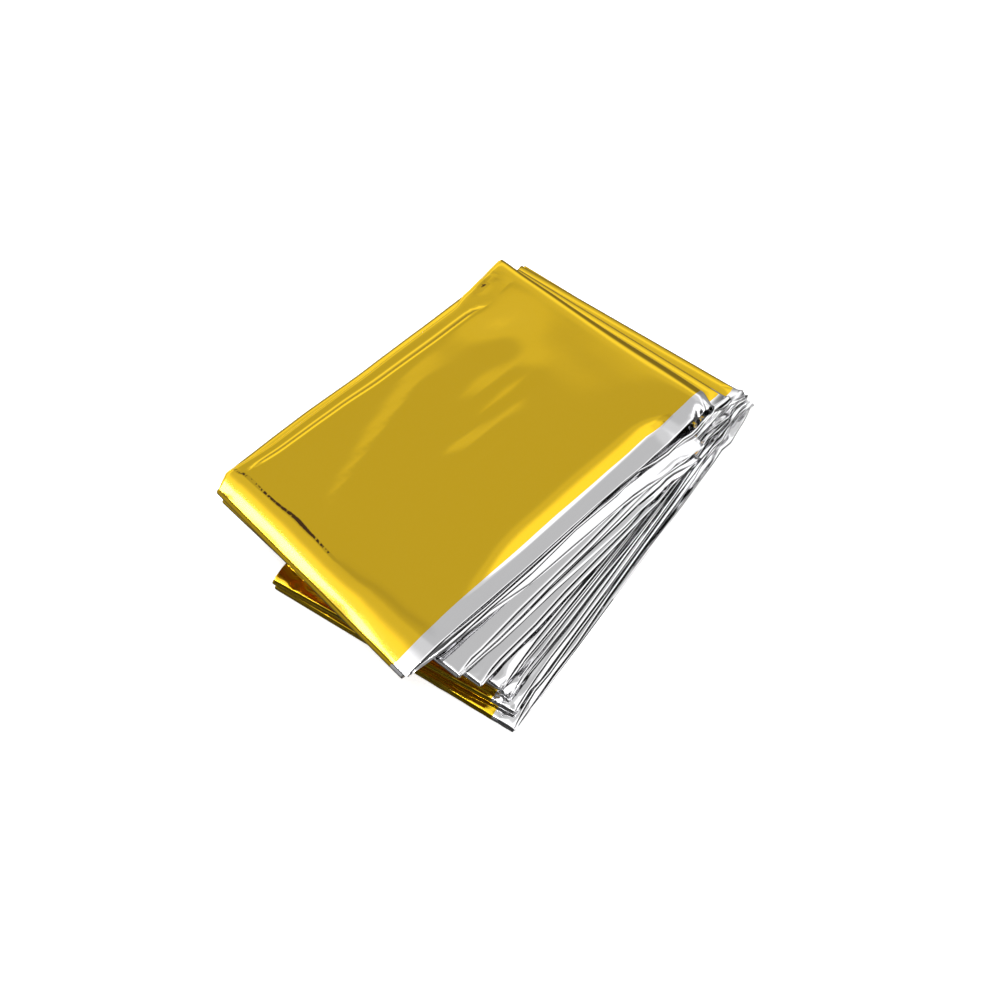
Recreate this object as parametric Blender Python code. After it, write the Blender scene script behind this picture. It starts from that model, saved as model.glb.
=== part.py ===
"""Emergency blanket: one sheet of metallised film, folded to a narrow strip and then back and
forth into a pack of sixteen leaves. The pack has been pushed out of square, so that its lower
leaves fan out along one side.

The solid is one back-and-forth section. Each leaf is the folded strip, pressed to about a
millimetre, and the leaves lie a little apart. Crosswise folds alternate between the near side
(-X) and the far side (+X). The strip's lengthwise folds are on the +Y side and the film's free
edges on the -Y side, where the fan opens.
"""
import math

import bmesh
import bpy

MM = 0.001

# Driving dimensions, in millimetres
LEAF_THICK = 1.0        # one pressed leaf of the strip
LEAF_PITCH = 1.35       # from one leaf to the next, so leaves are 0.35 apart
STRIP_WIDE = 90.0       # width of the folded strip
CROWN = 1.7             # how far trapped air lifts the middle of the top leaves
CROWN_LOW = 0.7         # the same for the leaves under the top packet
CORNER_LIFT = 3.0       # the top packet's right corner stands this much clear
TOP_PACKET = 12         # leaves from this number up turn together as one packet
WAIST = 2.4             # the top packet's lengthwise folds draw in by this much
WAIST_AT = 0.85         # at this share of the way from its near end to its far end
STEPS_ALONG = 10        # mesh steps along a leaf
STEPS_ACROSS = 6        # mesh steps across the strip
STEPS_ROUND = 6         # mesh steps round a crosswise fold

# One row for each crosswise fold, from the bottom leaf's free end to the top leaf's.
# mid_x, mid_y: the middle of the fold line; turn: its angle from +Y in degrees, clockwise
# negative; wide: its length. Even rows are on the far side, odd rows on the near side.
FOLDS = [
    # mid_x, mid_y,  turn,  wide
    (87.5,   -0.8,  -6.5, 100.0),    # bottom leaf's free end
    (-62.3,   0.5,  -1.7,  91.5),
    (84.5,   -1.0,  -5.5,  95.0),
    (-58.5,   1.7,  -1.1,  90.0),
    (86.4,    0.0,  -5.0,  95.5),
    (-53.9,   5.0,  -4.0,  90.0),
    (74.7,   -2.2,  -6.0,  90.0),
    (-53.7,   7.7,  -5.0,  90.0),
    (78.0,    0.0,  -6.9,  92.0),
    (-55.3,  12.8,  -7.0,  90.0),
    (50.7,   -3.2,  -6.0,  90.0),    # two short turns inside the pack
    (-55.9,  19.0,  -9.0,  90.0),
    (57.5,    0.0,  -9.0,  90.0),
    (-60.5,  30.6, -13.8,  90.0),    # the top packet starts here
    (67.5,    3.2,  -9.5,  90.0),
    (-61.7,  31.5, -15.4,  91.5),
    (70.2,    3.5,  -9.5,  91.4),    # top leaf's free end
]
LEAVES = len(FOLDS) - 1


def smooth(x):
    x = min(1.0, max(0.0, x))
    return x * x * (3.0 - 2.0 * x)


def fold_point(fold, s):
    """A point on a fold line. s runs from -0.5 at the free edges to 0.5 at the lengthwise fold."""
    mid_x, mid_y, turn, wide = FOLDS[fold]
    a = math.radians(turn)
    return mid_x - s * wide * math.sin(a), mid_y + s * wide * math.cos(a)


def from_line(x, y, fold, side):
    """How far a point lies inside a fold line: side is 1 where the pack is on the +X side."""
    mid_x, mid_y, turn, _ = FOLDS[fold]
    a = math.radians(turn)
    return side * ((x - mid_x) * math.cos(a) + (y - mid_y) * math.sin(a))


def crown(x, y):
    """1 in the middle of the pack, falling to 0 at the top leaf's near fold and its two sides."""
    near = smooth(from_line(x, y, LEAVES - 1, 1) / 11.0)
    far = 0.35 + 0.65 * smooth(from_line(x, y, LEAVES, -1) / 45.0)
    ax, ay = fold_point(LEAVES - 1, -0.5)
    bx, by = fold_point(LEAVES, -0.5)
    long = math.hypot(bx - ax, by - ay)
    inside = ((bx - ax) * (y - ay) - (by - ay) * (x - ax)) / long
    sides = smooth((inside + 4.0) / 26.0) * smooth((94.0 - inside) / 22.0)
    return near * far * (0.25 + 0.75 * sides)


def corner(x, y):
    """1 at the top packet's right corner, falling away from it."""
    cx, cy = fold_point(LEAVES, -0.5)
    return math.exp(-((x - cx) ** 2 + (y - cy) ** 2) / 30.0 ** 2)


def height(leaf, x, y):
    """The middle of a leaf's thickness. Each leaf rises at least as far as the one below."""
    part = leaf / (LEAVES - 1.0)
    rise = CROWN if leaf >= TOP_PACKET else CROWN_LOW * part
    z = LEAF_THICK / 2 + leaf * LEAF_PITCH + rise * crown(x, y)
    if leaf >= TOP_PACKET:
        z += CORNER_LIFT * corner(x, y)
    return z


def strip_path(s):
    """(point, normal) along the strip at one place across it, from its bottom end to its top."""
    path = []
    for leaf in range(LEAVES):
        x0, y0 = fold_point(leaf, s)
        x1, y1 = fold_point(leaf + 1, s)
        up = -1.0 if leaf % 2 == 0 else 1.0
        waist = WAIST * smooth(2 * s) if leaf >= TOP_PACKET else 0.0
        for i in range(STEPS_ALONG + 1):
            t = i / STEPS_ALONG
            t = 0.35 * t + 0.65 * (0.5 - 0.5 * math.cos(math.pi * t))   # closer near the folds
            x, y = x0 + (x1 - x0) * t, y0 + (y1 - y0) * t
            along = 1.0 - t if leaf % 2 == 0 else t
            y -= waist * min(along / WAIST_AT, (1.0 - along) / (1.0 - WAIST_AT))
            path.append(((x, y, height(leaf, x, y)), (0.0, 0.0, up)))
        if leaf == LEAVES - 1:
            break
        fold = leaf + 1
        out = -1.0 if fold % 2 else 1.0
        a = math.radians(FOLDS[fold][2])
        hx, hy = out * math.cos(a), out * math.sin(a)
        low, high = height(leaf, x1, y1), height(leaf + 1, x1, y1)
        mid, r = (low + high) / 2, (high - low) / 2
        facing = 1.0 if fold % 2 else -1.0
        for i in range(1, STEPS_ROUND):
            p = -math.pi / 2 + math.pi * i / STEPS_ROUND
            c, n = math.cos(p), math.sin(p)
            path.append(((x1 + hx * r * c, y1 + hy * r * c, mid + r * n),
                         (facing * hx * c, facing * hy * c, facing * n)))
    return path


def make_material(name, colour, roughness, metallic):
    m = bpy.data.materials.new(name)
    m.use_nodes = True
    b = m.node_tree.nodes["Principled BSDF"]
    b.inputs["Base Color"].default_value = (*colour, 1.0)
    b.inputs["Roughness"].default_value = roughness
    b.inputs["Metallic"].default_value = metallic
    m.diffuse_color = (*colour, 1.0)
    return m


def build():
    for o in list(bpy.data.objects):
        bpy.data.objects.remove(o, do_unlink=True)

    paths = [strip_path(j / STEPS_ACROSS - 0.5) for j in range(STEPS_ACROSS + 1)]
    count = len(paths[0])
    half = LEAF_THICK / 2

    faces_of = []
    for side in (1.0, -1.0):
        faces_of.append([[tuple(p[i] + side * half * n[i] for i in range(3)) for p, n in path]
                         for path in paths])

    every = [q for grid in faces_of for row in grid for q in row]
    mid_x = (min(q[0] for q in every) + max(q[0] for q in every)) / 2
    mid_y = (min(q[1] for q in every) + max(q[1] for q in every)) / 2

    bm = bmesh.new()
    vert = [[[bm.verts.new(((x - mid_x) * MM, (y - mid_y) * MM, z * MM)) for x, y, z in row]
             for row in grid] for grid in faces_of]
    one, two = vert
    for j in range(STEPS_ACROSS):
        for i in range(count - 1):
            bm.faces.new((one[j][i], one[j + 1][i], one[j + 1][i + 1], one[j][i + 1]))
            bm.faces.new((two[j][i], two[j][i + 1], two[j + 1][i + 1], two[j + 1][i]))
        for i in (0, count - 1):
            bm.faces.new((one[j][i], two[j][i], two[j + 1][i], one[j + 1][i]))
    for j in (0, STEPS_ACROSS):
        for i in range(count - 1):
            bm.faces.new((one[j][i], one[j][i + 1], two[j][i + 1], two[j][i]))
    bmesh.ops.recalc_face_normals(bm, faces=bm.faces)
    mesh = bpy.data.meshes.new("foil_blanket")
    bm.to_mesh(mesh)
    bm.free()
    mesh.materials.append(make_material("gold_film", (0.56, 0.36, 0.02), 0.28, 1.0))
    blanket = bpy.data.objects.new("foil_blanket", mesh)
    bpy.context.scene.collection.objects.link(blanket)
    mesh.shade_smooth()
    mesh.set_sharp_from_angle(angle=math.radians(35))
    return blanket


build()
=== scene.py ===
import math

import bpy
import numpy as np
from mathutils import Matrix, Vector


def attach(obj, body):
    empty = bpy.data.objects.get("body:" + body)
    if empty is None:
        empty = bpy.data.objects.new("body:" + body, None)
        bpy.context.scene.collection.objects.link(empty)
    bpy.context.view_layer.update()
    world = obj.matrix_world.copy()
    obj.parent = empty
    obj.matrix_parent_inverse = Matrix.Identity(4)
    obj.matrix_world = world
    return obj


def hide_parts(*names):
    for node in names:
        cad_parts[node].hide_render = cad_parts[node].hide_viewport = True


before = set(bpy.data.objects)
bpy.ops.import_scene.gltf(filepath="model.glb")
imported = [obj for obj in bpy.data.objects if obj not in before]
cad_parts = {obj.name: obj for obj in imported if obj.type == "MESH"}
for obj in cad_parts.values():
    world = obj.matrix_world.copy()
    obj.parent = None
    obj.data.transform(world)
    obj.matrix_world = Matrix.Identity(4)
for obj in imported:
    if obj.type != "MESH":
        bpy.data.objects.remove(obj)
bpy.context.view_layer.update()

MM = 0.001

# ---------------------------------------------------------------- the pack's construction
# The same crosswise fold lines and layer heights as the CAD solid, in millimetres.
LEAF_THICK = 1.0
LEAF_PITCH = 1.35
STRIP_WIDE = 90.0
CROWN = 1.7
CROWN_LOW = 0.7
CORNER_LIFT = 3.0
TOP_PACKET = 12
WAIST = 2.4
WAIST_AT = 0.85
CENTRE = (9.089, 12.720)      # the middle of the pack's footprint in the table's own numbers

FOLDS = np.array([
    # mid_x, mid_y,  turn,  wide
    (87.5,   -0.8,  -6.5, 100.0),
    (-62.3,   0.5,  -1.7,  91.5),
    (84.5,   -1.0,  -5.5,  95.0),
    (-58.5,   1.7,  -1.1,  90.0),
    (86.4,    0.0,  -5.0,  95.5),
    (-53.9,   5.0,  -4.0,  90.0),
    (74.7,   -2.2,  -6.0,  90.0),
    (-53.7,   7.7,  -5.0,  90.0),
    (78.0,    0.0,  -6.9,  92.0),
    (-55.3,  12.8,  -7.0,  90.0),
    (50.7,   -3.2,  -6.0,  90.0),
    (-55.9,  19.0,  -9.0,  90.0),
    (57.5,    0.0,  -9.0,  90.0),
    (-60.5,  30.6, -13.8,  90.0),
    (67.5,    3.2,  -9.5,  90.0),
    (-61.7,  31.5, -15.4,  91.5),
    (70.2,    3.5,  -9.5,  91.4),
])
LEAVES = len(FOLDS) - 1
TOP = LEAVES - 1

# Each leaf is the strip's four films: A outside, C and D inside, B outside. A runs from its
# free edge to a fold at +Y, C comes back to a fold at -Y, D goes out again, B comes back.
FILM_AT = (0.42, 0.14, -0.14, -0.42)
FILM_HALF = 0.025             # half the film's modelled thickness
MARGIN = 7.8                  # bare silver beside a free edge, as drawn on the grid

# How each leaf lies: how far its exposed border droops (degrees), how far its upper film,
# its inner fold and its lower film stand back from the edge, and its bare silver margin.
LEAF_LOOK = np.array([
    # droop, upper, inner, lower, margin
    (4.0,   1.5,  2.4, -0.2,   7.8),      # 0, the bottom leaf
    (2.5,   1.2,  2.2,  0.1,   7.8),
    (1.0,   1.7,  2.6,  0.2,   9.0),
    (3.5,   1.2,  2.4,  0.0,   7.8),
    (0.5,   1.6,  2.5,  0.2,   9.0),
    (2.5,   1.3,  2.2,  0.0,   9.0),
    (-0.5,  1.8,  2.7,  0.2,   9.0),
    (2.5,   1.3,  2.2,  0.1,  10.0),
    (0.0,   1.7,  2.6,  0.1,   9.0),
    (1.5,   1.4,  2.4,  0.1,  11.0),
    (4.0,   1.9,  2.8,  0.1,  12.0),
    (1.0,   1.5,  2.4,  0.1,  12.5),
    (2.5,   1.6,  2.5,  0.0,  13.0),
    (3.0,  -0.5,  1.2, -1.5,  10.0),
    (2.0,   0.1,  1.2, -0.9,  10.0),
    (0.0,  -0.9,  1.2,  0.3,   7.0),      # 15, the top leaf
])

# How far a fold's line stands off the one the solid is drawn on, and its swing along the fold.
FOLD_OUT = {0: (2.2, 0.0), 2: (1.6, 0.0), 3: (-1.8, -3.0), 8: (1.15, 0.0)}


def smooth(x):
    x = np.clip(x, 0.0, 1.0)
    return x * x * (3.0 - 2.0 * x)


def through(x, table):
    """A smooth line through a short table of (position, value)."""
    xs, ys = np.array(table, dtype=float).T
    i = np.clip(np.searchsorted(xs, x) - 1, 0, len(xs) - 2)
    t = np.clip((x - xs[i]) / (xs[i + 1] - xs[i]), 0.0, 1.0)
    return ys[i] + (ys[i + 1] - ys[i]) * (0.5 * t + 0.5 * smooth(t))


def fold_point(fold, s):
    mid_x, mid_y, turn, wide = FOLDS[fold]
    a = math.radians(turn)
    out, swing = FOLD_OUT.get(fold, (0.0, 0.0))
    return mid_x + out + swing * s - s * wide * math.sin(a), mid_y + s * wide * math.cos(a)


def from_line(x, y, fold, side):
    mid_x, mid_y, turn, _ = FOLDS[fold]
    a = math.radians(turn)
    return side * ((x - mid_x) * math.cos(a) + (y - mid_y) * math.sin(a))


def inside_edge(leaf, x, y):
    """Millimetres from the line between a leaf's free-edge corners, positive on the leaf."""
    ax, ay = fold_point(leaf if leaf % 2 else leaf + 1, -0.5)
    bx, by = fold_point(leaf + 1 if leaf % 2 else leaf, -0.5)
    length = math.hypot(bx - ax, by - ay)
    return ((bx - ax) * (y - ay) - (by - ay) * (x - ax)) / length


def near_dist(leaf, x, y):
    return from_line(x, y, leaf if leaf % 2 else leaf + 1, 1)


def far_dist(leaf, x, y):
    return from_line(x, y, leaf + 1 if leaf % 2 else leaf, -1)


def exposure(leaf, x, y):
    """How far a point of this leaf lies outside everything on top of it."""
    out = np.full(np.shape(x), 12.0)
    for above in range(leaf + 1, LEAVES):
        out = np.minimum(out, -inside_edge(above, x, y))
    return np.clip(out, 0.0, 12.0)


def corner(x, y):
    cx, cy = fold_point(LEAVES, -0.5)
    return np.exp(-((x - cx) ** 2 + (y - cy) ** 2) / 30.0 ** 2)


# the crease beside the top leaf's near fold: (millimetres from the free edge, from the fold)
CREASE = [(-5, 15.5), (7, 14.6), (10, 14.0), (15, 13.3), (21, 13.2), (27.5, 12.4), (33, 10.8), (38, 10.2),
          (43, 9.7), (47.6, 9.9), (53, 10.2), (57, 10.1), (60, 10.5), (64, 10.3), (67, 9.8), (70, 9.4),
          (75, 9.2), (81, 9.0), (84.5, 8.6), (86, 7.8), (91, 7.9)]
# the ridge beside its lengthwise fold: (millimetres from the near fold, from the free edge)
RIDGE = [(0, 86.6), (13, 86.2), (24, 85.2), (35, 84.9), (48, 84.4), (65, 83.1), (92, 82.3), (106, 82.2),
         (112, 80.8), (140, 80.8)]


def near_band(x, y):
    """The top packet's near folds roll over: a drop in millimetres beside the fold."""
    a = np.clip(near_dist(TOP, x, y), 0.0, None)
    b = inside_edge(TOP, x, y)
    ac = through(b, CREASE)
    ac = 9.6 + 0.55 * (ac - 9.6)
    k = np.clip(1.0 - a / ac, 0.0, 1.0)
    steep = through(b, [(-5, 0.22), (12, 0.27), (30, 0.33), (45, 0.34), (60, 0.36), (80, 0.36), (92, 0.34)])
    s0 = 0.078
    return ac * (s0 * k + (steep - s0) * k ** 2.5 / 2.5)


def top_field(x, y):
    """The shape that the top packet's leaves share."""
    a = near_dist(TOP, x, y)
    b = inside_edge(TOP, x, y)
    far = 0.55 + 0.45 * smooth(far_dist(TOP, x, y) / 55.0)
    z = CROWN * far - near_band(x, y) * (0.55 + 0.45 * far)
    return z


def margin_roll(x, y):
    """The gold side rolls down to the bare margin along the far half of the free edge."""
    a = near_dist(TOP, x, y)
    b = inside_edge(TOP, x, y)
    g = smooth((a - 14.0) / 44.0) * (1.0 - smooth((a - 116.0) / 10.0))
    inner = through(a, [(20, 8.5), (37, 11.0), (57, 15.0), (82, 15.2), (110, 14.4), (123, 9.5)])
    t = np.clip((inner - b) / (inner - 5.8), 0.0, 1.0)
    slope = 0.25
    return g * ((inner - 5.8) * slope * t ** 2 / 2 + slope * np.clip(5.8 - b, 0.0, 1.5))


SWELLS = [
    # from a, b  to  a, b     high  wide
    (81.0, 74.4, 22.6, 56.6, 0.36, 3.8),
    (107.0, 52.2, 75.0, 53.4, 0.34, 3.8),
    (88.0, 40.8, 57.0, 42.0, 0.32, 3.6),
    (66.0, 58.0, 30.0, 47.0, -0.14, 3.6),
    (121.0, 70.0, 84.0, 52.0, 0.24, 10.0),
    (112.0, 60.0, 96.0, 76.0, 0.20, 8.0),
    (100.0, 46.6, 64.0, 47.6, -0.22, 3.4),
    (84.0, 34.5, 50.0, 33.5, -0.16, 4.0),
    (46.0, 20.0, 18.0, 26.0, 0.16, 6.0),
]


def swells(a, b):
    """Soft streaks of air trapped under the top film, as low swells."""
    z = 0.16 * smooth((a - 16.0) / 14.0) * smooth((122.0 - a) / 16.0) * smooth((b - 16.0) / 12.0) * smooth((80.0 - b) / 12.0)
    for a0, b0, a1, b1, high, wide in SWELLS:
        length = math.hypot(a1 - a0, b1 - b0)
        ua, ub = (a1 - a0) / length, (b1 - b0) / length
        p = (a - a0) * ua + (b - b0) * ub
        q = -(a - a0) * ub + (b - b0) * ua
        ends = smooth((p + 8.0) / 16.0) * smooth((length + 8.0 - p) / 16.0)
        z = z + 1.5 * high * ends * np.exp(-(q / wide) ** 2)
    return z


# ---------------------------------------------------------------- repeatable unevenness
class Waves:
    """A smooth, repeatable uneven line: a sum of sines with seeded phases."""

    def __init__(self, seed, lengths):
        rng = np.random.default_rng(seed)
        self.parts = []
        for length in lengths:
            for _ in range(3):
                k = rng.uniform(0.75, 1.35) * 2 * math.pi / length
                self.parts.append((k, rng.uniform(0, 2 * math.pi), length / lengths[0]))

    def __call__(self, u):
        total = 0.0
        for k, phase, size in self.parts:
            total = total + size * np.sin(k * u + phase)
        return total / math.sqrt(1.5 * len(self.parts))


class Facets:
    """Crumpled foil: random heights on a slanted lattice, with flat facets between them."""

    def __init__(self, seed, cell):
        self.table = np.random.default_rng(seed).uniform(-1, 1, (61, 67))
        self.cell = cell

    def __call__(self, u, v):
        u, v = np.asarray(u, dtype=float), np.asarray(v, dtype=float)
        p, q = (u + 0.45 * v) / self.cell, (v - 0.3 * u) / self.cell
        i, j = np.floor(p).astype(int), np.floor(q).astype(int)
        f, g = p - i, q - j
        h = lambda di, dj: self.table[(i + di) % 61, (j + dj) % 67]
        low = h(0, 0) + (h(1, 0) - h(0, 0)) * f + (h(0, 1) - h(0, 0)) * g
        high = h(1, 1) + (h(0, 1) - h(1, 1)) * (1 - f) + (h(1, 0) - h(1, 1)) * (1 - g)
        return np.where(f + g < 1, low, high)


shared = Facets(71, 5.2)
shared_small = Facets(72, 2.6)
tight = Facets(73, 1.9)


def height(leaf, x, y):
    z = LEAF_THICK / 2 + leaf * LEAF_PITCH
    a = near_dist(TOP, x, y)
    b = inside_edge(TOP, x, y)
    if leaf >= TOP_PACKET:
        z = z + top_field(x, y)
        # the far corner of the two upper leaves stands up, and leaves a dark mouth under it
        lift, share = ((-0.10, 0.45), (-0.03, 0.75), (0.97, 0.95), (1.0, 1.0))[leaf - TOP_PACKET]
        z = z + CORNER_LIFT * corner(x, y) * lift - margin_roll(x, y) * share
    else:
        near = smooth(near_dist(leaf, x, y) / 26.0)
        far = 0.35 + 0.65 * smooth(far_dist(TOP, x, y) / 45.0)
        sides = smooth((b + 4.0) / 26.0) * smooth((94.0 - b) / 22.0)
        z = z + CROWN_LOW * leaf / (LEAVES - 1.0) * near * far * (0.25 + 0.75 * sides)
    # where a pair of leaves meets in its fold, the upper one comes down
    if 0 < leaf < TOP and leaf % 2 == 0:
        side, wide, deep = -1, 3.2, 0.30
        k = np.clip(1.0 - from_line(x, y, leaf, side) / wide, 0.0, 1.0)
        z = z - deep * k ** 2
    # the border that nothing covers droops
    droop = math.tan(math.radians(LEAF_LOOK[leaf, 0]))
    if leaf in (12, 13):
        z = z - (0.75, 0.35)[leaf - 12] * (1 - smooth((a - 50.0) / 40.0))
    if leaf in (10, 11, 12, 13, 14):
        z = z + (0.12, 0.25, -0.45, -0.60, -0.30)[leaf - 10] * (1 - smooth((a - 16.0) / 32.0))
    if leaf == TOP_PACKET:
        span = smooth((a - 46.0) / 40.0)
        start = 3.2 * smooth((a - 92.0) / 26.0)
        z = z - span * np.clip(0.22 * (exposure(leaf, x, y) - start), 0.0, 0.85) - 0.5 * corner(x, y)
    if leaf in (12, 13):
        z = z - smooth((a - 12.0) / 14.0) * (1 - smooth((a - 46.0) / 40.0)) * np.clip(0.20 * exposure(leaf, x, y), 0.0, 0.55)
    z = z - np.clip(droop * exposure(leaf, x, y), -0.3, 0.50)
    # handling has crumpled the bared borders together, most at the far end
    if leaf <= TOP_PACKET:
        bare = smooth((5.0 + 0.8 * smooth((a - 128.0) / 6.0) - b) / 7.0)
        far_end = smooth((a - 88.0) / 34.0) * bare * float(np.clip(0.33 + 0.14 * (TOP_PACKET - leaf), 0.0, 1.0))
        near_end = smooth((16.0 - a) / 12.0) * smooth((2.0 - b) / 6.0) * (1.0 if leaf < 10 else 0.2)
        if leaf < 9:
            near_end = np.maximum(near_end, 0.9 * np.exp(-((x + 52.0) ** 2 + (y + 40.0) ** 2) / 8.5 ** 2))
        # long narrow facets, lying along the borders
        u, v = 0.993 * x - 0.122 * y, 0.122 * x + 0.993 * y
        z = z + far_end * (0.95 * (1 + shared(0.5 * u, v)) / 2 + 1.45 * (0.3 + tight(0.36 * u, v)))
        z = z + 0.08 * bare * shared_small(u, v)
        z = z + near_end * (0.75 * (1 + shared(u + 300.0, v)) / 2 + 0.62 * shared_small(u, v) + 1.0 * (0.3 + tight(0.45 * u, v)))
    return z


# ---------------------------------------------------------------- the film's grid
REGULAR = np.array([0, 0.8, 2.0, 4.0, 7.5, 12.5, 20, 32, 50, 70, 88, 99, 106, 111, 115, 118.5, 121.5, 124.3, 127,
                    129.3, 131]) / 131.0
TURN = np.radians([-54, -18, 18, 54])

TOP_BAND = [0, 0.07, 0.14, 0.21, 0.28, 0.35, 0.42, 0.49, 0.56, 0.64, 0.73, 0.83, 0.93]   # shares of the band
TOP_CREASE = [-0.45, -0.30, -0.17, 0.17, 0.30, 0.5]                                       # mm from the crease
TOP_AFTER = [0.12, 0.3, 0.55, 0.8]                                                        # shares up to 22 mm
TOP_REST = list(np.arange(22.0, 119.0, 2.75)) + [120.4]
# the top leaf's far end, in millimetres short of its last line
TOP_END = [8.4, 7.5, 6.7, 5.9, 5.2, 4.5, 3.8, 3.2, 2.7, 2.25, 1.85, 1.5, 1.2, 0.95, 0.72, 0.5, 0.3, 0.15, 0.0]

A_COLS = [0, 0.12, 0.26, 0.34, 0.6, 0.85, 1.2, 2.0, 3.2, 4.5, 5.2, 5.75, 6.3, 7.0, MARGIN, 8.6, 9.8, 11.3, 13.2, 15.5]
A_COLS += [18.2] + list(np.arange(21.2, 77, 3.1)) + [78.6, 80.2, 81.3]
A_RIDGE = [-1.1, -0.55, -0.2, 0.05, 0.17, 0.31]
A_LAST = [85.4, 87.0, 88.2, 88.9, 89.5, 90.0]
C_COLS = [89.3, 86.0, 64, 34, 14, 5, 2.0, 0.6, 0.1]
B_COLS = [90.0, 89.3, 88.0, 84, 72, 56, 40, 26, 16, 11, MARGIN, 5.6, 3.6, 2.2, 1.2, 0.85, 0.6, 0.34, 0.26, 0.12, 0]

OUTER_TURN = np.radians([36, 72, 108, 144])
INNER_TURN = np.radians([45, 90, 135])


def columns():
    """Each column of the grid: film, distance from the free edge, side of the leaf, turn."""
    cols = []
    for b in A_COLS:
        cols.append((0, b, FILM_AT[0], 0.0))
    for d in A_RIDGE:
        cols.append((0, 83.2 + d, FILM_AT[0], 0.0))
    for b in A_LAST:
        cols.append((0, b, FILM_AT[0], 0.0))
    for t in OUTER_TURN:
        cols.append((10, 90.0, 0.28 + 0.14 * math.cos(t), 0.14 * math.sin(t)))
    for b in C_COLS:
        cols.append((1, b, FILM_AT[1], 0.0))
    for t in INNER_TURN:
        cols.append((11, 0.0, 0.14 * math.cos(t), -0.14 * math.sin(t)))
    for b in C_COLS[::-1]:
        cols.append((2, b, FILM_AT[2], 0.0))
    for t in OUTER_TURN:
        cols.append((12, 90.0, -0.28 + 0.14 * math.cos(t), 0.14 * math.sin(t)))
    for b in B_COLS:
        cols.append((3, b, FILM_AT[3], 0.0))
    return cols


COLS = columns()
NV = len(COLS)
col_film = np.array([c[0] for c in COLS])
col_b = np.array([c[1] for c in COLS], dtype=float)
col_off = np.array([c[2] for c in COLS])
col_out = np.array([c[3] for c in COLS])
ON_A, ON_B = col_film == 0, col_film == 3
ON_INNER = (col_film == 1) | (col_film == 11) | (col_film == 2)
REF = int(np.argmin(np.abs(col_b[:len(A_COLS)] - 30.0)))      # a column clear of the corners

edge_wave = {0: Waves(11, [34.0, 13.0]), 1: Waves(13, [40.0, 15.0]), 3: Waves(12, [29.0, 11.0])}
kink = Facets(21, 6.0)
crumple = Facets(41, 3.6)
crumple_small = Facets(42, 1.9)
slack = {0: Waves(31, [46.0, 21.0]), 1: Waves(33, [50.0, 23.0]), 3: Waves(32, [40.0, 18.0])}
fold_wave = {10: Waves(51, [60.0, 24.0]), 12: Waves(52, [48.0, 20.0])}


def film_rows():
    """Every row of the film's grid, from the bottom leaf's far end to the top leaf's."""
    rows, walked = [], 0.0
    for leaf in range(LEAVES):
        x0, y0 = fold_point(leaf, 0.0)
        x1, y1 = fold_point(leaf + 1, 0.0)
        length = math.hypot(x1 - x0, y1 - y0)
        if leaf < TOP:
            share = REGULAR[::-1] if leaf % 2 == 0 else REGULAR
            for along in share:
                t = 1.0 - along if leaf % 2 == 0 else along
                rows.append(dict(kind="leaf", leaf=leaf, along=along, t=t, where=walked + length * t, length=length))
        else:
            for k in TOP_BAND:
                rows.append(dict(kind="leaf", leaf=leaf, band=k, where=walked + 9.5 * k, length=length))
            for d in TOP_CREASE:
                rows.append(dict(kind="leaf", leaf=leaf, crease=d, where=walked + 9.5 + d, length=length))
            for k in TOP_AFTER:
                rows.append(dict(kind="leaf", leaf=leaf, after=k, where=walked + 10 + 12 * k, length=length))
            for a in TOP_REST:
                rows.append(dict(kind="leaf", leaf=leaf, along=a / 131.0, t=a / 131.0, where=walked + length * a / 131.0,
                                 length=length))
            for d in TOP_END:
                rows.append(dict(kind="leaf", leaf=leaf, end=d, where=walked + length - d, length=length))
            walked += length
            break
        walked += length
        for phi in TURN:
            rows.append(dict(kind="turn", leaf=leaf, along=0.0, t=1.0, phi=phi, where=walked, length=length))
    return rows


ROWS = film_rows()
NU = len(ROWS)


TOP_EDGE = [(78, 0.0), (94, -0.35), (105, -1.0), (116, -1.5), (137, -1.8)]
TOP_MARGIN = [(0, 5.2), (11, 5.5), (29, 5.9), (50, 6.0), (70, 6.1), (83, 5.9), (101, 5.9), (111, 6.0), (118, 5.0),
              (127, 4.9), (132, 5.2)]


# the tucks' inner ends, their directions, lengths, depths and widths
TUCKS = [
    (57.8, -39.7, 0.893, 0.450, 5.4, 2.3, 1.7),
    (59.9, -40.8, 0.721, 0.693, 3.6, 1.0, 0.7),
]


def set_back(leaf, film, along_mm, length):
    """How far a film's edge stands back, easing to a common place at the crosswise folds."""
    upper_is_a = leaf % 2 == 1
    if film == 1:
        own = LEAF_LOOK[leaf, 2]
    else:
        own = LEAF_LOOK[leaf, 1 if (film == 0) == upper_is_a else 3]
    if leaf == TOP:
        return own
    ease = smooth(along_mm / 10.0) * smooth((length - along_mm) / 10.0)
    common = {0: 0.5, 1: 0.8, 3: 0.3}[film]
    return common + (own - common) * ease


def lip(t, shoulder, fall, wide):
    """How far a free edge bends down: a soft shoulder, then a short lip."""
    return shoulder * np.clip((0.62 - t) / 0.36, 0, 1) ** 1.5 + fall * np.clip(1 - t / wide, 0, 1) ** 1.2


def column_length(b):
    """The top leaf's length along one of its columns."""
    s = b / STRIP_WIDE - 0.5
    x0, y0 = fold_point(TOP, s)
    x1, y1 = fold_point(TOP + 1, s)
    return np.hypot(x1 - x0, y1 - y0)


def tuck_in(b):
    return 2.6 * np.clip(1 - b / 6.5, 0, 1)


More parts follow.
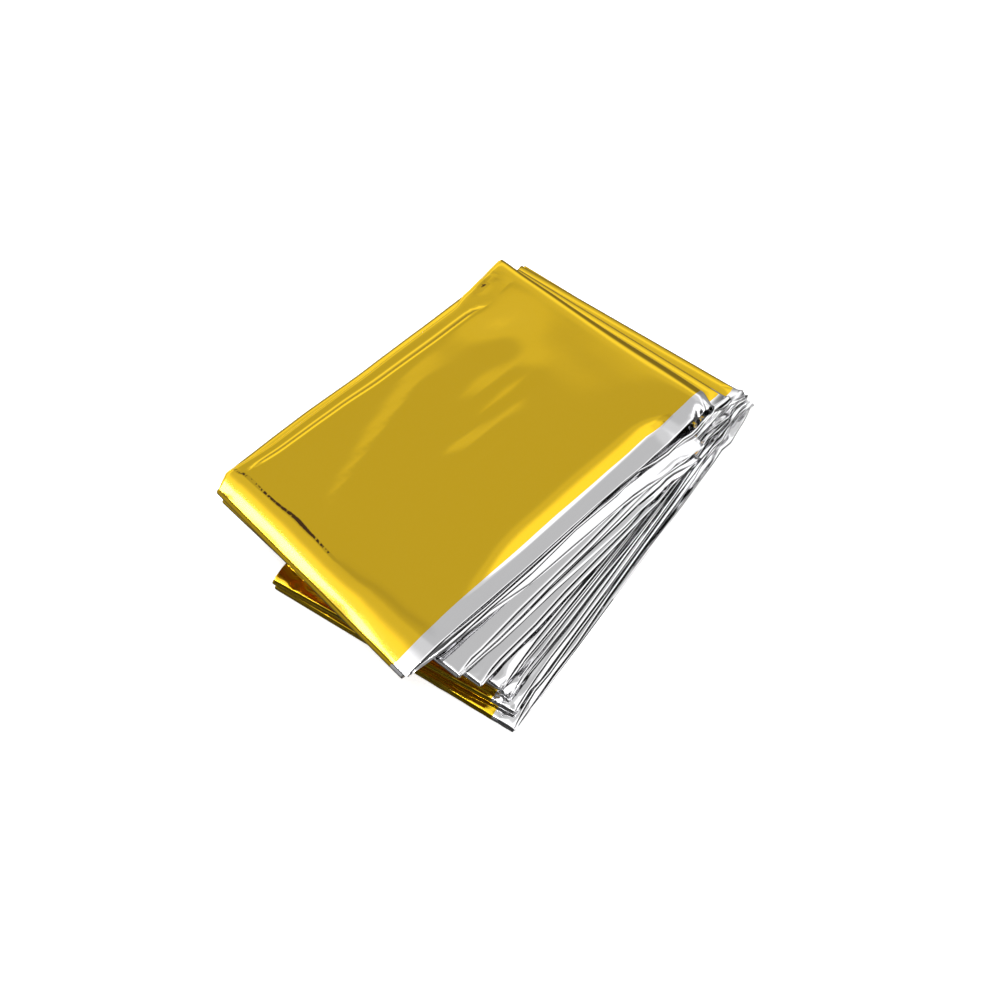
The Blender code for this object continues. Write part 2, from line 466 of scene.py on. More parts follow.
def film_grid():
    P = np.zeros((NU, NV, 3))
    # painted shade on the film, carried to its colour by the crease attribute
    shade = np.zeros((NU, NV))
    for u, row in enumerate(ROWS):
        leaf, kind, where, length = row["leaf"], row["kind"], row["where"], row["length"]
        a_mm = np.full(NV, row.get("along", 0.0) * length)
        if kind == "leaf" and leaf == TOP and "along" not in row:
            ac = through(col_b, CREASE)
            if "band" in row:
                a_mm = row["band"] * (ac - 1.0)
            elif "crease" in row:
                a_mm = ac + row["crease"] * (1.95 + 1.1 * np.exp(-((col_b - 61.0) / 6.0) ** 2) + 0.3 * smooth((col_b - 75) / 5.0))
            elif "after" in row:
                a_mm = (ac + 0.5) + row["after"] * (22.0 - ac - 0.5)
            else:
                # the far end; its corner beside the free edge is tucked in
                a_mm = column_length(col_b) + np.where(ON_A, 1.0, -0.8) - tuck_in(col_b) - row["end"]
        if kind == "leaf" and leaf == TOP and "along" in row:
            a_mm = row["t"] * column_length(col_b)
        near_end = np.exp(-(a_mm / 9.0) ** 2)
        far_end = np.exp(-(np.clip(length - a_mm - 4.0, 0, None) / 26.0) ** 2)
        if kind == "turn":
            near_end = np.full(NV, 1.0 if leaf % 2 == 0 else 0.0)
            far_end = np.full(NV, 0.0 if leaf % 2 == 0 else 1.0)
        mid_a = float(a_mm[REF]) if kind != "turn" else (0.0 if leaf % 2 == 0 else length)

        # across the strip: margins, ridge, and where each film's edge lies
        b = col_b.copy()
        if kind == "turn":
            margin = (LEAF_LOOK[leaf, 4] + LEAF_LOOK[leaf + 1, 4]) / 2
            if leaf == TOP - 1:
                margin = TOP_MARGIN[0][1]
        else:
            margin = LEAF_LOOK[leaf, 4]
            if leaf < TOP:
                other = LEAF_LOOK[min(leaf + 1, TOP), 4] if row["t"] > 0.5 else LEAF_LOOK[max(leaf - 1, 0), 4]
                gap = min(row["t"], 1 - row["t"]) * length
                margin = margin + (other - margin) * 0.5 * (1 - float(smooth(gap / 12.0)))
                if leaf < 10:
                    margin = margin - (margin - 5.0) * float(smooth((mid_a - 80.0) / 34.0))
                if leaf == 14:
                    margin = margin + 7.0 * float(smooth((mid_a - 102.0) / 14.0))
            else:
                margin = float(through(mid_a, TOP_MARGIN))
        for at in (ON_A, ON_B):
            extra = margin - MARGIN
            b[at] += extra * np.where(col_b[at] < MARGIN, col_b[at] / MARGIN, np.clip(1 - (col_b[at] - MARGIN) / 14.0, 0, 1))
        if leaf == TOP and kind != "turn":
            shift = through(a_mm, RIDGE) - 83.2
            weight = np.clip(np.minimum((col_b - 66.0) / 15.0, (90.0 - col_b) / 6.2), 0.0, 1.0)
            b[ON_A] += (shift * weight)[ON_A]

        for film, at in ((0, ON_A), (1, ON_INNER), (3, ON_B)):
            e = set_back(leaf, film, mid_a, length)
            quiet = 0.22 if leaf == TOP and film == 0 else 1.0
            e = e + quiet * 0.32 * edge_wave[film](where)
            e = e + quiet * (0.18 + 0.9 * far_end[at] + 0.25 * near_end[at]) * kink(where, 40.0 * film)
            if leaf == 13:
                e = e + through(mid_a, [(95, 0.0), (101, -0.2), (108, -1.5), (114, -2.6), (121, -3.6), (129, -4.3), (133, -3.4), (138, -1.0)])
                if film == 3:
                    e = e + 1.5 * smooth((mid_a - 98.0) / 8.0)
            if leaf == 14:
                e = e + 1.0 * smooth((mid_a - 58.0) / 50.0)
            if leaf == 12:
                e = e - (0.68 if film == 0 else 1.0) * through(mid_a, [(10, 0.0), (25, 1.5), (47, 2.9), (88, 2.4), (110, 4.2), (121, 3.9), (128, 0.8)])
            if leaf == TOP:
                e = e + (through(mid_a, TOP_EDGE) if film == 0 else 1.2 * smooth((mid_a - 112.0) / 18.0))
            b[at] = b[at] + e * np.clip(1.0 - col_b[at] / 18.0, 0.0, 1.0)
        # the lengthwise folds do not quite line up either
        for key, film in ((10, (0, 10, 1)), (12, (2, 12, 3))):
            e = 0.35 * fold_wave[key](where)
            if (leaf == TOP and kind != "turn") or (leaf == TOP - 1 and kind == "turn"):
                body = 1 - smooth((mid_a - 109.0) / 5.0)
                if key == 10:
                    e = 0.10 * fold_wave[key](where) + 0.9 * (1 - smooth((mid_a - 8.0) / 10.0))
                    e = e - 1.2 * smooth((mid_a - 12.0) / 12.0) * body - 0.5 * smooth((mid_a - 40.0) / 30.0) * body
                    e = e - 2.3 * np.clip(1 - mid_a / 7.4, 0.0, 1.0)
                else:
                    e = 0.3 + 0.10 * fold_wave[key](where) + 0.95 * (1 - smooth((mid_a - 40.0) / 30.0))
                    e = e - 2.65 * np.clip(1 - mid_a / 7.4, 0.0, 1.0)
            elif leaf >= TOP_PACKET:
                e = e - 2.0 * np.clip(1 - mid_a / 7.0, 0.0, 1.0)
            at = np.isin(col_film, film)
            b[at] = b[at] + e * np.clip((col_b[at] - 86.0) / 4.0, 0.0, 1.0)

        s = b / STRIP_WIDE - 0.5
        if kind == "leaf":
            x0, y0 = fold_point(leaf, s)
            x1, y1 = fold_point(leaf + 1, s)
            if leaf == TOP and "along" not in row:
                t = a_mm / np.hypot(x1 - x0, y1 - y0)
            else:
                t = row["t"]
            x, y = x0 + (x1 - x0) * t, y0 + (y1 - y0) * t
            if leaf >= TOP_PACKET:
                share = t if leaf % 2 else 1.0 - t
                waist = WAIST * smooth(2 * s)
                y = y - waist * np.minimum(share / WAIST_AT, np.clip(1.0 - share, 0, 1) / (1.0 - WAIST_AT))
            up = -1.0 if leaf % 2 == 0 else 1.0
            z = height(leaf, x, y)
            n = np.stack([np.zeros(NV), np.zeros(NV), np.full(NV, up)], -1)
        else:
            fold = leaf + 1
            out = -1.0 if fold % 2 else 1.0
            a = math.radians(FOLDS[fold][2])
            hx, hy = out * math.cos(a), out * math.sin(a)
            x1, y1 = fold_point(fold, s)
            low, high = height(leaf, x1, y1), height(leaf + 1, x1, y1)
            mid, r = (low + high) / 2, np.maximum((high - low) / 2, 0.26)
            c, sn = math.cos(row["phi"]), math.sin(row["phi"])
            x, y, z = x1 + hx * r * c, y1 + hy * r * c, mid + r * sn
            facing = 1.0 if fold % 2 else -1.0
            n = np.stack([np.full(NV, facing * hx * c), np.full(NV, facing * hy * c),
                          np.full(NV, facing * sn)], -1)
        a = math.radians(FOLDS[min(leaf if kind == "leaf" else leaf + 1, LEAVES)][2])
        wide_dir = np.array([-math.sin(a), math.cos(a), 0.0])
        p = np.stack([x, y, z], -1)
        p = p + n * col_off[:, None] + wide_dir[None] * col_out[:, None]

        # films lift, curl and crumple beside their free edges
        if kind == "leaf":
            window = np.clip(a_mm / 3.0, 0, 1) * np.clip((length - a_mm) / 3.0, 0, 1)
            for film, at in ((0, ON_A), (1, ON_INNER), (3, ON_B)):
                upper = (leaf % 2 == 1) if film == 0 else (leaf % 2 == 0)
                bb = col_b[at]
                edge = np.clip(1.0 - bb / 7.0, 0.0, 1.0) ** 1.5
                lift = slack[film](where) * (0.04 if leaf == TOP else 0.09)
                amount = (0.03 + 0.20 * far_end[at] + 0.10 * near_end[at]) * (0.3 if leaf in (13, 14) else 1.0)
                own = 37.0 * film
                if leaf == TOP:
                    corner_in = smooth((a_mm[at] - 122.0) / 6.0) * np.clip(1 - bb / 4.6, 0, 1) ** 0.5
                    amount, own = 0.008 + 0.30 * corner_in, 0.0
                    if film != 0:
                        p[at, 2] -= 0.22 * corner_in
                zone = np.clip(1.0 - bb / 14.0, 0.0, 1.0)
                rough = crumple(where, bb + own + 11.0) + 0.6 * crumple_small(where, bb + own)
                p[at, 2] += window[at] * (lift * edge + amount * zone * rough)
                if film != 1:
                    shoulder = 0.05 * (1.0 + 0.6 * edge_wave[film](where * 1.7 + 50.0))
                    fall = 0.38 * (1.0 + 0.30 * edge_wave[1](where * 1.3 + 90.0 * film))
                    wide = 0.27
                    if leaf == TOP:
                        shoulder, fall = 0.03, 0.28
                    if leaf >= 13:
                        # the upper leaves' edges are bent right down beside the near fold
                        bent = float(1 - smooth((mid_a - 9.0) / 9.0))
                        fall, wide = fall + 0.45 * bent, wide + 0.16 * bent
                    p[at, 2] -= window[at] * lip(bb, shoulder, fall, wide)
            if leaf < 5:
                near_zone = np.exp(-((a_mm - 3.0) / 5.0) ** 2) * smooth((col_b - 55.0) / 26.0)
                p[:, 2] += np.clip(a_mm / 2.0, 0, 1) * near_zone * (0.55 * crumple(where, col_b) + 0.55 * crumple_small(where, col_b))

        # the creases that show on the top leaf's upper film, with painted shade along them
        if leaf == TOP and kind == "leaf":
            on = ON_A
            aa, bb = a_mm[on], b[on]
            ac = through(bb, CREASE)
            da = aa - ac
            sharp = smooth((bb - 41.0) / 6.0) * (0.75 + 0.25 * np.exp(-((bb - 61.0) / 9.0) ** 2))
            sharp = sharp * np.where(bb > 76.0, 0.84, np.where(bb < 53.0, 0.90, 1.0))
            # painted shade along the crease line, over a groove only 0.03 mm deep
            dark_line = sharp * (row.get("crease") in (-0.17, 0.17))
            p[on, 2] -= 0.03 * dark_line
            # a soft line of painted shadow continues the crease towards the free edge
            painted_soft_shadow = (1 - smooth((bb - 38.0) / 8.0)) * np.exp(-((aa - through(bb, CREASE)) / 1.5) ** 2)
            shade[u, on] = np.maximum(shade[u, on], dark_line)
            shade[u, on] = np.maximum(shade[u, on], 0.16 * painted_soft_shadow * smooth(bb / 8.0))
            # a short line of painted shade where the rolled border ends
            painted_shade_mark = smooth((aa - 118.0) / 1.0) * smooth((125.0 - aa) / 1.0) * np.exp(-((col_b[on] - 8.15) / 0.45) ** 2)
            shade[u, on] = np.maximum(shade[u, on], painted_shade_mark)
            p[on, 2] += swells(aa, bb)
            # ridge beside the lengthwise fold
            rb = bb - through(aa, RIDGE)
            fade = smooth((aa - 11.0) / 4.0) * smooth((111.0 - aa) / 5.0)
            rise = 0.23 * smooth((rb + 0.85) / 0.9) * (1 - smooth((rb - 0.05) / 0.25))
            p[on, 2] += fade * rise
            # the fold itself rolls over
            p[on, 2] -= 0.10 * np.clip((col_b[on] - 88.4) / 1.6, 0, 1) ** 1.4
            p[on, 2] -= 0.16 * np.clip((col_b[on] - 89.3) / 0.7, 0, 1) ** 1.5
            # short creases by the far corner
            for cb, ca0, ca1, size in ((82.2, 121.5, 128.0, 0.10), (80.9, 122.0, 127.0, 0.07)):
                f2 = smooth((aa - ca0) / 1.5) * smooth((ca1 - aa) / 1.5)
                p[on, 2] += size * f2 * np.exp(-((bb - cb) / 0.55) ** 2)
            # crumpled foil by the far corner, with painted shade in its hollows
            pinch = np.exp(-((aa - 118.5) / 4.5) ** 2) * np.exp(-((bb - 87.5) / 1.8) ** 2)
            p[on, 2] += 0.30 * pinch * crumple_small(aa * 1.3, bb * 1.3)
            shade[u, on] = np.maximum(shade[u, on], 0.95 * pinch * (crumple_small(aa * 1.3, bb * 1.3) < -0.2))
        if leaf == TOP and kind == "leaf":
            # two sharp tucks in the far corner beside the free edge
            for tx, ty, ux, uy, reach, deep, wide in TUCKS:
                along = (p[:, 0] - tx) * ux + (p[:, 1] - ty) * uy
                side_way = (p[:, 0] - tx) * uy - (p[:, 1] - ty) * ux
                k = np.clip(-along / reach, 0, 1.15)
                h, w = deep * k, wide * (0.25 + 0.75 * k)
                step = np.clip(side_way / w + 0.5, 0.0, 1.0)
                back = np.clip((side_way / w - 0.5) / 2.2, 0.0, 1.0)
                p[:, 2] -= np.where(along < 0, h * (step - back), 0.0)
            # the lower of the two lengthwise folds shows beyond the upper one, and slopes away
            lowered = 0.46 * np.clip((col_b - 86.0) / 4.0, 0, 1) ** 1.3
            low_fold = np.isin(col_film, (2, 12, 3))
            p[low_fold, 2] -= lowered[low_fold]
            # the last millimetres before the far end turn down
            size = 1.15 + 1.65 * (1 - col_b / 90.0)
            d = np.clip(column_length(col_b) + 1.0 - tuck_in(col_b) - a_mm, 0.0, None)
            soft_end = np.clip(1 - (d - size) / 4.2, 0.0, 1.0)
            q = np.clip((size - d) / size, 0.0, 1.0)
            v = np.clip(size - d, 0.0, None)
            bend = np.where(v < 0.35, v * v / 0.7, v - 0.175)
            drop = 0.13 * 4.2 / 2.6 * soft_end ** 2.6
            drop = drop + 0.13 * v + 0.235 * bend + 1.2 * np.clip(0.22 - d, 0.0, None)
            p[:, 2] -= drop + np.where(ON_A, 0.0, 0.15 * q)
        P[u] = p
    return P, shade


def make_film():
    P, shade = film_grid()
    P[..., 0] -= CENTRE[0]
    P[..., 1] -= CENTRE[1]

    du = np.gradient(P, axis=0)
    dv = np.gradient(P, axis=1)
    N = np.cross(dv, du)
    N /= np.maximum(np.linalg.norm(N, axis=-1, keepdims=True), 1e-9)
    if N[NU - 30, 20, 2] < 0:          # the top leaf's upper film faces up
        N = -N
    outer = P + N * FILM_HALF
    inner = P - N * FILM_HALF
    verts = np.concatenate([outer.reshape(-1, 3), inner.reshape(-1, 3)]) * MM
    verts[:, 2] = np.maximum(verts[:, 2], 0.00002)

    def index(u, v, layer):
        return layer * NU * NV + u * NV + v

    u, v = np.meshgrid(np.arange(NU - 1), np.arange(NV - 1), indexing="ij")
    u, v = u.ravel(), v.ravel()
    outer_faces = np.stack([index(u, v, 0), index(u, v + 1, 0), index(u + 1, v + 1, 0), index(u + 1, v, 0)], -1)
    inner_faces = np.stack([index(u, v, 1), index(u + 1, v, 1), index(u + 1, v + 1, 1), index(u, v + 1, 1)], -1)
    rim = []
    for vv, flip in ((0, False), (NV - 1, True)):
        uu = np.arange(NU - 1)
        q = np.stack([index(uu, vv, 0), index(uu + 1, vv, 0), index(uu + 1, vv, 1), index(uu, vv, 1)], -1)
        rim.append(q[:, ::-1] if flip else q)
    for uu, flip in ((0, True), (NU - 1, False)):
        w = np.arange(NV - 1)
        q = np.stack([index(uu, w, 0), index(uu, w + 1, 0), index(uu, w + 1, 1), index(uu, w, 1)], -1)
        rim.append(q[:, ::-1] if flip else q)
    rim = np.concatenate(rim)
    faces = np.concatenate([outer_faces, inner_faces, rim])

    tri = verts[outer_faces[:, :3]]
    face_n = np.cross(tri[:, 1] - tri[:, 0], tri[:, 2] - tri[:, 0])
    if (face_n * N[u, v]).sum() < 0:
        faces = faces[:, ::-1]

    mesh = bpy.data.meshes.new("foil_film")
    mesh.from_pydata(verts.tolist(), [], faces.tolist())
    n_out, n_in = len(outer_faces), len(inner_faces)
    # bare silver beside the free edges and all over the film's other face
    mid = (col_b[:-1] + col_b[1:]) / 2
    flat = (col_film[:-1] == col_film[1:]) & ((col_film[:-1] == 0) | (col_film[:-1] == 3))
    gold = ~(flat & (mid < MARGIN))[v]
    slots = np.zeros(len(faces), dtype=np.int32)
    slots[:n_out][~gold] = 1
    slots[n_out:] = 1
    end_gold = ~(flat & (mid < MARGIN))
    slots[len(faces) - (NV - 1):][end_gold] = 0
    mesh.polygons.foreach_set("material_index", slots)
    mesh.polygons.foreach_set("use_smooth", np.ones(len(faces), dtype=bool))

    mesh.update()
    keys = np.empty(len(mesh.edges) * 2, dtype=np.int32)
    mesh.edges.foreach_get("vertices", keys)
    keys = np.sort(keys.reshape(-1, 2), axis=1)
    half = NU * NV
    local = keys % half
    same_layer = (keys[:, 0] < half) == (keys[:, 1] < half)
    uu, vv = local // NV, local % NV
    on_side = ((vv[:, 0] == vv[:, 1]) & ((vv[:, 0] == 0) | (vv[:, 0] == NV - 1)))
    on_end = ((uu[:, 0] == uu[:, 1]) & ((uu[:, 0] == 0) | (uu[:, 0] == NU - 1)))
    attr = mesh.attributes.new("sharp_edge", "BOOLEAN", "EDGE")
    attr.data.foreach_set("value", same_layer & (on_side | on_end))

    # the film's own coordinates, for its materials: along the strip, across it, and its layer
    info = np.zeros((2, NU, NV, 3), dtype=np.float32)
    info[..., 0] = np.array([r["where"] for r in ROWS])[None, :, None] * MM
    across = col_b + 100.0 * (col_film % 10)
    info[..., 1] = (across * MM)[None, None, :]
    fa = mesh.attributes.new("film", "FLOAT_VECTOR", "POINT")
    fa.data.foreach_set("vector", info.reshape(-1))
    # the painted shade, as the attribute that darkens the film's colour
    sa = mesh.attributes.new("crease", "FLOAT", "POINT")
    sa.data.foreach_set("value", np.broadcast_to(shade[None], (2, NU, NV)).astype(np.float32).reshape(-1).copy())
    mesh.validate()
    film = bpy.data.objects.new("foil_film", mesh)
    bpy.context.scene.collection.objects.link(film)
    print("film", NU, NV, "triangles", 2 * len(faces))
    return film


# ---------------------------------------------------------------- materials
def node(nt, kind, x=0, y=0, **values):
    n = nt.nodes.new(kind)
    n.location = (x, y)
    for k, val in values.items():
        setattr(n, k, val)
    return n


def film_material(name, colour, tint, dark, roughness, rough_spread, bump_mm, lacquer):
    m = bpy.data.materials.new(name)
    m.use_nodes = True
    nt = m.node_tree
    b = nt.nodes["Principled BSDF"]
    b.inputs["Metallic"].default_value = 1.0
    # a clear lacquer over the metal gives the gold side its pale bloom around a highlight
    b.inputs["Coat Weight"].default_value = lacquer
    b.inputs["Coat Roughness"].default_value = 0.16
    att = node(nt, "ShaderNodeAttribute", -1200, 0, attribute_name="film")
    # colour: the lacquer is a little uneven, and painted shade darkens it along the creases
    n1 = node(nt, "ShaderNodeTexNoise", -900, 300)
    n1.inputs["Scale"].default_value = 55.0
    n1.inputs["Detail"].default_value = 3.0
    nt.links.new(att.outputs["Vector"], n1.inputs["Vector"])
    mix = node(nt, "ShaderNodeMix", -600, 300, data_type="RGBA")
    mix.inputs[6].default_value = (*colour, 1.0)
    mix.inputs[7].default_value = (*tint, 1.0)
    nt.links.new(n1.outputs["Fac"], mix.inputs[0])
    painted_shade_attr = node(nt, "ShaderNodeAttribute", -900, 500, attribute_name="crease")
    # the painted shade's dark colour is mixed into the base colour by the crease attribute
    painted_shade_mix = node(nt, "ShaderNodeMix", -350, 300, data_type="RGBA")
    painted_shade_mix.inputs[7].default_value = (*dark, 1.0)
    # the painted shade is solid along a strong crease, and only in specks along a weaker one
    n5 = node(nt, "ShaderNodeTexNoise", -900, 700)
    n5.inputs["Scale"].default_value = 900.0
    n5.inputs["Detail"].default_value = 1.0
    nt.links.new(att.outputs["Vector"], n5.inputs["Vector"])
    speck = node(nt, "ShaderNodeMath", -700, 700, operation="MULTIPLY_ADD")
    speck.inputs[1].default_value = 1.1
    nt.links.new(n5.outputs["Fac"], speck.inputs[0])
    nt.links.new(painted_shade_attr.outputs["Fac"], speck.inputs[2])
    painted_shade_specks = node(nt, "ShaderNodeMapRange", -550, 700)
    painted_shade_specks.inputs["From Min"].default_value = 1.20
    painted_shade_specks.inputs["From Max"].default_value = 1.27
    nt.links.new(speck.outputs[0], painted_shade_specks.inputs["Value"])
    faint = node(nt, "ShaderNodeMath", -550, 850, operation="MINIMUM")
    faint.inputs[1].default_value = 0.16
    nt.links.new(painted_shade_attr.outputs["Fac"], faint.inputs[0])
    either = node(nt, "ShaderNodeMath", -450, 750, operation="MAXIMUM")
    nt.links.new(painted_shade_specks.outputs["Result"], either.inputs[0])
    nt.links.new(faint.outputs[0], either.inputs[1])
    nt.links.new(either.outputs[0], painted_shade_mix.inputs[0])
    nt.links.new(mix.outputs[2], painted_shade_mix.inputs[6])
    nt.links.new(painted_shade_mix.outputs[2], b.inputs["Base Color"])
    # roughness: handling leaves the gloss patchy
    n2 = node(nt, "ShaderNodeTexNoise", -900, 0)
    n2.inputs["Scale"].default_value = 38.0
    n2.inputs["Detail"].default_value = 4.0
    n2.inputs["Distortion"].default_value = 0.6
    nt.links.new(att.outputs["Vector"], n2.inputs["Vector"])
    mr = node(nt, "ShaderNodeMapRange", -600, 0)
    mr.inputs["From Min"].default_value = 0.3
    mr.inputs["From Max"].default_value = 0.7
    mr.inputs["To Min"].default_value = roughness - rough_spread
    mr.inputs["To Max"].default_value = roughness + rough_spread
    nt.links.new(n2.outputs["Fac"], mr.inputs["Value"])
    nt.links.new(mr.outputs["Result"], b.inputs["Roughness"])
    # slow waves and fine handling creases in the film
    n3 = node(nt, "ShaderNodeTexNoise", -900, -300)
    n3.inputs["Scale"].default_value = 34.0
    n3.inputs["Detail"].default_value = 1.0
    nt.links.new(att.outputs["Vector"], n3.inputs["Vector"])
    n4 = node(nt, "ShaderNodeTexNoise", -900, -550)
    n4.inputs["Scale"].default_value = 380.0
    n4.inputs["Detail"].default_value = 2.0
    nt.links.new(att.outputs["Vector"], n4.inputs["Vector"])
    bump1 = node(nt, "ShaderNodeBump", -300, -300)
    bump1.inputs["Strength"].default_value = 1.0
    bump1.inputs["Distance"].default_value = bump_mm[0] * MM
    nt.links.new(n3.outputs["Fac"], bump1.inputs["Height"])
    bump2 = node(nt, "ShaderNodeBump", -100, -300)
    bump2.inputs["Strength"].default_value = 1.0
    bump2.inputs["Distance"].default_value = bump_mm[1] * MM
    nt.links.new(n4.outputs["Fac"], bump2.inputs["Height"])
    nt.links.new(bump1.outputs["Normal"], bump2.inputs["Normal"])
    nt.links.new(bump2.outputs["Normal"], b.inputs["Normal"])
    return m


# each face's third colour is its painted shade
gold = film_material("gold_film_face", (0.99, 0.640, 0.013), (0.99, 0.632, 0.010), (0.10, 0.038, 0.0),
                     0.07, 0.02, (0.20, 0.004), 0.45)
silver = film_material("silver_film_face", (0.975, 0.97, 0.98), (0.95, 0.95, 0.965), (0.10, 0.10, 0.11),
                       0.06, 0.02, (0.14, 0.004), 0.0)

film = make_film()
film.data.materials.append(gold)
film.data.materials.append(silver)
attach(film, "root")
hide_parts("foil_blanket")

# ---------------------------------------------------------------- floor, light, camera
floor_mesh = bpy.data.meshes.new("floor")
floor_mesh.from_pydata([(-4, -4, 0), (4, -4, 0), (4, 4, 0), (-4, 4, 0)], [], [(0, 1, 2, 3)])
floor = bpy.data.objects.new("floor", floor_mesh)
bpy.context.scene.collection.objects.link(floor)
fm = bpy.data.materials.new("floor_white")
fm.use_nodes = True
nt = fm.node_tree
nt.nodes.clear()
out = node(nt, "ShaderNodeOutputMaterial", 600, 0)
lp = node(nt, "ShaderNodeLightPath", -400, 300)
pale = node(nt, "ShaderNodeBsdfDiffuse", -200, 0)
pale.inputs["Color"].default_value = (0.90, 0.90, 0.90, 1)
glow = node(nt, "ShaderNodeEmission", -200, -150)
glow.inputs["Color"].default_value = (1, 1, 1, 1)
glow.inputs["Strength"].default_value = 0.55
both = node(nt, "ShaderNodeAddShader", 0, 0)
nt.links.new(pale.outputs[0], both.inputs[0])
nt.links.new(glow.outputs[0], both.inputs[1])
# mirrored in the film, the floor glows with painted shadow: dark beside the pack, darker still towards -Y
place = node(nt, "ShaderNodeNewGeometry", -1000, -400)
away = node(nt, "ShaderNodeVectorMath", -800, -400, operation="LENGTH")
nt.links.new(place.outputs["Position"], away.inputs[0])
fall = node(nt, "ShaderNodeMapRange", -600, -400, interpolation_type="SMOOTHSTEP")
fall.inputs["From Min"].default_value = 0.085
fall.inputs["From Max"].default_value = 0.21
fall.inputs["To Min"].default_value = 0.07
fall.inputs["To Max"].default_value = 0.50
nt.links.new(away.outputs["Value"], fall.inputs["Value"])
xyz = node(nt, "ShaderNodeSeparateXYZ", -800, -600)
nt.links.new(place.outputs["Position"], xyz.inputs[0])
front = node(nt, "ShaderNodeMapRange", -600, -600, interpolation_type="SMOOTHSTEP")
front.inputs["From Min"].default_value = -0.10
front.inputs["From Max"].default_value = 0.02
front.inputs["To Min"].default_value = 0.25
front.inputs["To Max"].default_value = 1.0
nt.links.new(xyz.outputs["Y"], front.inputs["Value"])
painted_floor_shadow = node(nt, "ShaderNodeMath", -400, -450, operation="MULTIPLY")
nt.links.new(fall.outputs["Result"], painted_floor_shadow.inputs[0])
nt.links.new(front.outputs["Result"], painted_floor_shadow.inputs[1])
# painted shadow: the floor that the film mirrors glows only this much
dark = node(nt, "ShaderNodeEmission", -200, -300)
dark.inputs["Color"].default_value = (1, 1, 1, 1)
nt.links.new(painted_floor_shadow.outputs["Value"], dark.inputs["Strength"])
mix = node(nt, "ShaderNodeMixShader", 300, 0)
nt.links.new(lp.outputs["Is Glossy Ray"], mix.inputs[0])
nt.links.new(both.outputs[0], mix.inputs[1])
nt.links.new(dark.outputs[0], mix.inputs[2])
nt.links.new(mix.outputs[0], out.inputs["Surface"])
floor_mesh.materials.append(fm)


def direction(azimuth, elevation):
    """A unit vector: azimuth in degrees from +X towards +Y."""
    a, e = math.radians(azimuth), math.radians(elevation)
    return (math.cos(a) * math.cos(e), math.sin(a) * math.cos(e), math.sin(e))


# The studio is one soft surround: a bright ceiling with a dimmer opening in it behind the
# pack, which the flat faces mirror, a paler band below, and two dark flats at the ends.
world = bpy.data.worlds.new("studio")
bpy.context.scene.world = world
world.use_nodes = True
wt = world.node_tree
wt.nodes.clear()
w_out = node(wt, "ShaderNodeOutputWorld", 1200, 0)
w_bg = node(wt, "ShaderNodeBackground", 1000, 0)
coord = node(wt, "ShaderNodeTexCoord", -1400, 0)


def op(kind, a, b=None, clamp=False):
    n = node(wt, "ShaderNodeMath", 0, 0, operation=kind, use_clamp=clamp)
    for i, val in enumerate((a, b)):
        if val is None:
            continue
        if isinstance(val, (int, float)):
            n.inputs[i].default_value = val
        else:
            wt.links.new(val, n.inputs[i])
    return n.outputs[0]


def dot(vec):
    n = node(wt, "ShaderNodeVectorMath", -1000, 0, operation="DOT_PRODUCT")
    wt.links.new(coord.outputs["Generated"], n.inputs[0])
    n.inputs[1].default_value = vec
    return n.outputs["Value"]


def ramp(value, a, b, lo=0.0, hi=1.0):
    n = node(wt, "ShaderNodeMapRange", -800, 0, interpolation_type="SMOOTHSTEP")
    n.inputs["From Min"].default_value = a
    n.inputs["From Max"].default_value = b
    n.inputs["To Min"].default_value = lo
    n.inputs["To Max"].default_value = hi
    wt.links.new(value, n.inputs["Value"])
    return n.outputs["Result"]


def blob(vec, inner, outer):
    """1 within inner degrees of a direction, falling smoothly to 0 at outer degrees."""
    n = ramp(dot(vec), math.cos(math.radians(outer)), math.cos(math.radians(inner)))
    return n


EL, AZ = math.radians(57.0), math.radians(32.0)
ahead = (math.cos(AZ) * math.cos(EL), math.sin(AZ) * math.cos(EL), math.sin(EL))
side = (0.5299, -0.8480, 0.0)
rise = (-math.cos(AZ) * math.sin(EL), -math.sin(AZ) * math.sin(EL), math.cos(EL))

height_z = dot((0, 0, 1))
base = ramp(height_z, 0.02, 0.55, 0.34, 0.648)
hu = op("MULTIPLY", op("ADD", dot(side), 0.026), 1 / 0.205)
hv = op("MULTIPLY", op("SUBTRACT", dot(rise), 0.020), 1 / 0.172)
r2 = op("ADD", op("MULTIPLY", hu, hu), op("MULTIPLY", hv, hv))
behind = op("LESS_THAN", dot(ahead), 0.0)
r2 = op("ADD", r2, op("MULTIPLY", behind, 9.0))
first = ramp(r2, 0.55, 1.3, 0.0, 0.17)
second = ramp(r2, 1.9, 3.5, 0.0, 0.60)
ceiling = op("MULTIPLY", op("ADD", first, second), ramp(height_z, 0.36, 0.66))
left_flat = blob(direction(152, 34), 14, 46)
ceiling = op("MULTIPLY", ceiling, op("SUBTRACT", 1.0, op("MULTIPLY", left_flat, 0.95)))
total = op("ADD", base, ceiling)
for flat, share, inner, outer in ((direction(158, 28), 0.93, 30, 46), (direction(18, 8), 0.45, 16, 36),
                                  (direction(-62, -4), 0.97, 20, 40)):
    total = op("MULTIPLY", total, op("SUBTRACT", 1.0, op("MULTIPLY", blob(flat, inner, outer), share)))
# a pale card between the flats, which the top mirrors when it is seen from its free edges
total = op("ADD", total, op("MULTIPLY", blob(direction(133, 25), 9, 24), 0.42))
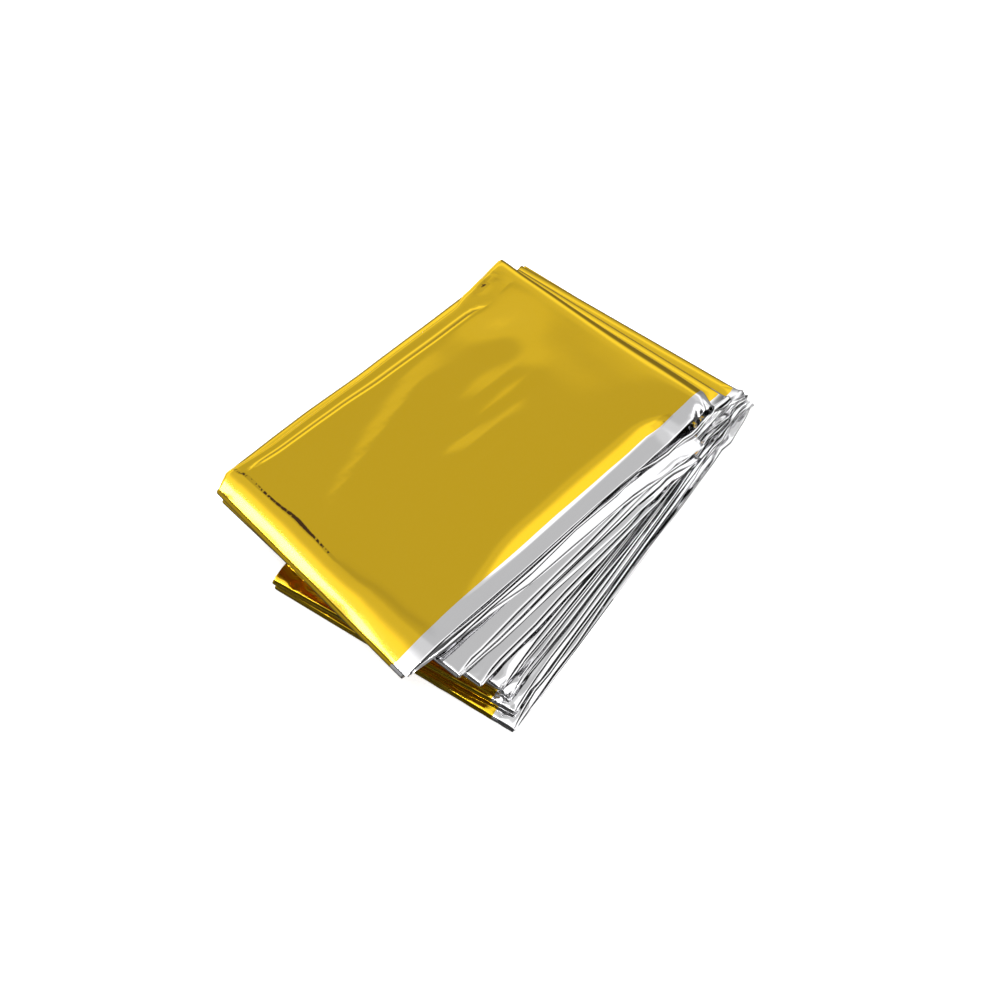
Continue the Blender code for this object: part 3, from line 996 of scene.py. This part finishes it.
# a narrow strip light overhead, which the near band mirrors as one hot line
across = op("ABSOLUTE", op("ADD", dot((1, 0, 0)), 0.072))
half = op("MULTIPLY", op("SUBTRACT", dot((0, 1, 0)), 0.385), 0.60)
half = op("MINIMUM", op("MAXIMUM", half, 0.0), 0.095)
strip = ramp(op("SUBTRACT", across, half), 0.014, -0.004)
strip = op("MULTIPLY", strip, op("MULTIPLY", ramp(dot((0, 1, 0)), 0.66, 0.60), ramp(height_z, 0.5, 0.6)))
total = op("ADD", total, op("MULTIPLY", strip, 26.0))
light = node(wt, "ShaderNodeLightPath", 400, 300)
# the floor itself takes an even light from above
even = op("ADD", op("MULTIPLY", ramp(height_z, 0.0, 0.5), 0.75), 0.45)
pick = node(wt, "ShaderNodeMix", 600, 0, data_type="FLOAT")
wt.links.new(light.outputs["Is Diffuse Ray"], pick.inputs[0])
wt.links.new(total, pick.inputs[2])
wt.links.new(even, pick.inputs[3])
seen = node(wt, "ShaderNodeMix", 800, 0, data_type="FLOAT")
wt.links.new(light.outputs["Is Camera Ray"], seen.inputs[0])
wt.links.new(pick.outputs[0], seen.inputs[2])
seen.inputs[3].default_value = 1.0
wt.links.new(seen.outputs[0], w_bg.inputs["Strength"])
wt.links.new(w_bg.outputs[0], w_out.inputs["Surface"])

# the camera: 57 degrees above the floor, a moderate lens
F_PX, SCALE = 1800.0, 3.08
cam_data = bpy.data.cameras.new("camera")
cam_data.sensor_width = 36.0
cam_data.lens = F_PX / 1000.0 * 36.0
cam_data.clip_start = 0.01
cam = bpy.data.objects.new("camera", cam_data)
bpy.context.scene.collection.objects.link(cam)
azimuth, elevation = math.radians(-58.0), math.radians(57.0)
back = Vector((math.sin(azimuth) * math.cos(elevation), -math.cos(azimuth) * math.cos(elevation),
               math.sin(elevation)))
target = Vector((-CENTRE[0] * MM, -CENTRE[1] * MM, 0.010))
cam.location = target + back * (F_PX / SCALE * MM)
cam.rotation_mode = "QUATERNION"
cam.rotation_quaternion = (-back).to_track_quat("-Z", "Y")
bpy.context.scene.camera = cam

vs = bpy.context.scene.view_settings
vs.view_transform = "Standard"
vs.look = "None"
vs.exposure = 0.0
vs.gamma = 1.0
